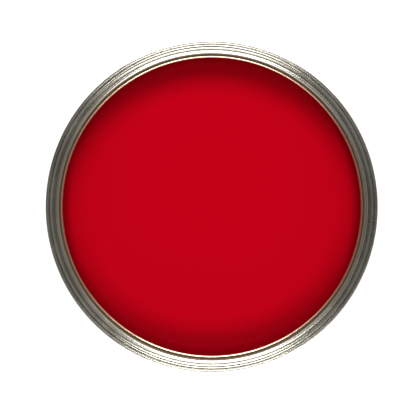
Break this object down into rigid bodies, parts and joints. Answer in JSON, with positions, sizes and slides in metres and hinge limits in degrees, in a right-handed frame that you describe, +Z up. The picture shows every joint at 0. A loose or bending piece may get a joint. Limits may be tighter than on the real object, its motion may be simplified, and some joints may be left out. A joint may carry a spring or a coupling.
{
  "type": "paint tin",
  "caption": "Round lever-lid metal paint tin, open and full of red paint, with a grooved lid ring, seamed ends and a folding wire bail with a plastic grip.",
  "frame": {"origin": "centre of the foot ring, on the ground", "axes": "+Z up out of the mouth, +X through one of the ears, -Y towards the folded bail"},
  "size_m": [0.182, 0.1796, 0.14],
  "materials": {
    "tinplate": "satin",
    "seam_compound": "matte",
    "paint": "gloss",
    "ear_steel": "satin",
    "wire_steel": "satin",
    "grip_plastic": "satin"
  },
  "bodies": {
    "tin": {"body_shell": "tinplate", "lid_ring": "tinplate", "bottom_end": "tinplate", "top_seam_compound": "seam_compound", "bottom_seam_compound": "seam_compound", "paint_fill": "paint", "ear_right": "ear_steel", "ear_left": "ear_steel"},
    "bail": {"bail_wire": "wire_steel"},
    "grip": {"bail_grip": "grip_plastic"}
  },
  "joints": [
    {"name": "bail_swing", "type": "hinge", "parent": "tin", "child": "bail", "pos_m": [0, 0, 0.095], "axis": [-1, 0, 0], "range_deg": [0, 258]},
    {"name": "grip_spin", "type": "hinge", "parent": "bail", "child": "grip", "pos_m": [0, -0.08932, 0.02256], "axis": [1, 0, 0], "continuous": true}
  ]
}
